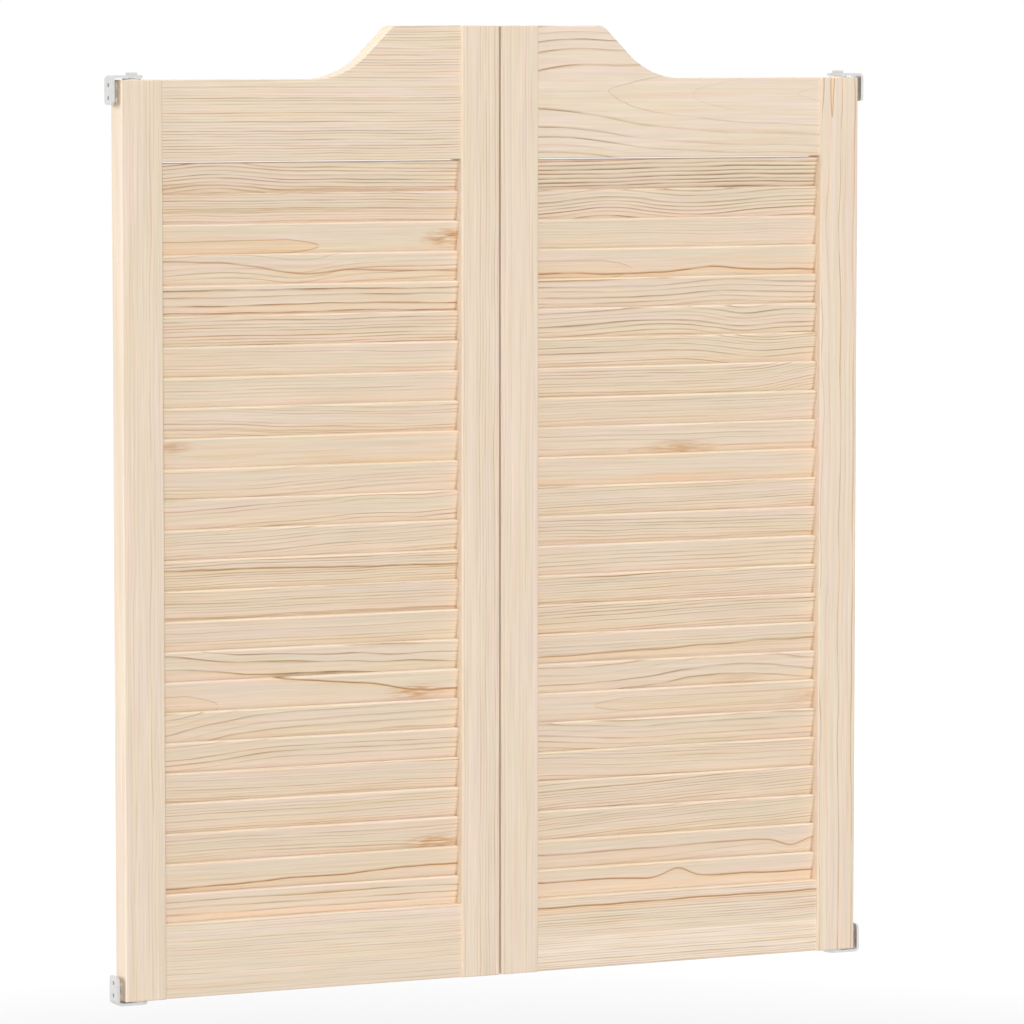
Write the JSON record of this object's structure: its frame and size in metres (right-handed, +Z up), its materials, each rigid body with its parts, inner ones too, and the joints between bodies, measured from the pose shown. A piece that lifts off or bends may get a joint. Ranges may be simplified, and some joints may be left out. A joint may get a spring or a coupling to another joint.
{
  "type": "cafe doors",
  "caption": "Pair of double-acting louvred pine cafe doors with an ogee top, on concealed spring pivots between jamb brackets.",
  "frame": {"origin": "under the line where the two leaves meet, in the middle of their thickness, level with the underside of the lower jamb brackets", "axes": "+X to the right seen from the front, +Y from the front to the back, +Z up"},
  "size_m": [0.918, 0.032, 1.0715],
  "materials": {
    "bare_pine": "sanded, unfinished",
    "zinc_plated_steel": "satin",
    "spring_steel": "oiled",
    "white_nylon": "matte"
  },
  "bodies": {
    "jamb_hardware": {"left_lower_bracket": "zinc_plated_steel", "left_upper_bracket": "zinc_plated_steel", "left_lower_spindle": "zinc_plated_steel", "left_upper_pin": "zinc_plated_steel", "right_lower_bracket": "zinc_plated_steel", "right_upper_bracket": "zinc_plated_steel", "right_lower_spindle": "zinc_plated_steel", "right_upper_pin": "zinc_plated_steel"},
    "left_leaf": {"left_outer_stile": "bare_pine", "left_meeting_stile": "bare_pine", "left_top_rail": "bare_pine", "left_bottom_rail": "bare_pine", "left_dowels": "bare_pine", "left_louvre_slats_01_02": "bare_pine", "left_louvre_slats_03_04": "bare_pine", "left_louvre_slats_05_06": "bare_pine", "left_louvre_slats_07_08": "bare_pine", "left_louvre_slats_09_10": "bare_pine", "left_louvre_slats_11_12": "bare_pine", "left_louvre_slats_13_14": "bare_pine", "left_louvre_slats_15_16": "bare_pine", "left_louvre_slats_17_18": "bare_pine", "left_louvre_slats_19_20": "bare_pine", "left_louvre_slats_21_22": "bare_pine", "left_louvre_slats_23_24": "bare_pine", "left_louvre_slat_25": "bare_pine", "left_spring_housing": "zinc_plated_steel", "left_housing_cap": "zinc_plated_steel", "left_housing_screws": "zinc_plated_steel", "left_lower_bush": "white_nylon", "left_upper_bush": "white_nylon", "left_torsion_spring": "spring_steel"},
    "right_leaf": {"right_outer_stile": "bare_pine", "right_meeting_stile": "bare_pine", "right_top_rail": "bare_pine", "right_bottom_rail": "bare_pine", "right_dowels": "bare_pine", "right_louvre_slats_01_02": "bare_pine", "right_louvre_slats_03_04": "bare_pine", "right_louvre_slats_05_06": "bare_pine", "right_louvre_slats_07_08": "bare_pine", "right_louvre_slats_09_10": "bare_pine", "right_louvre_slats_11_12": "bare_pine", "right_louvre_slats_13_14": "bare_pine", "right_louvre_slats_15_16": "bare_pine", "right_louvre_slats_17_18": "bare_pine", "right_louvre_slats_19_20": "bare_pine", "right_louvre_slats_21_22": "bare_pine", "right_louvre_slats_23_24": "bare_pine", "right_louvre_slat_25": "bare_pine", "right_spring_housing": "zinc_plated_steel", "right_housing_cap": "zinc_plated_steel", "right_housing_screws": "zinc_plated_steel", "right_lower_bush": "white_nylon", "right_upper_bush": "white_nylon", "right_torsion_spring": "spring_steel"}
  },
  "joints": [
    {"name": "left_leaf_swing", "type": "hinge", "parent": "jamb_hardware", "child": "left_leaf", "pos_m": [-0.432, 0, 0], "axis": [0, 0, 1], "range_deg": [-90, 90], "stiffness_Nm_per_rad": 1.74, "deforming": ["left_torsion_spring"]},
    {"name": "right_leaf_swing", "type": "hinge", "parent": "jamb_hardware", "child": "right_leaf", "pos_m": [0.432, 0, 0], "axis": [0, 0, 1], "range_deg": [-90, 90], "stiffness_Nm_per_rad": 1.74, "deforming": ["right_torsion_spring"]}
  ]
}
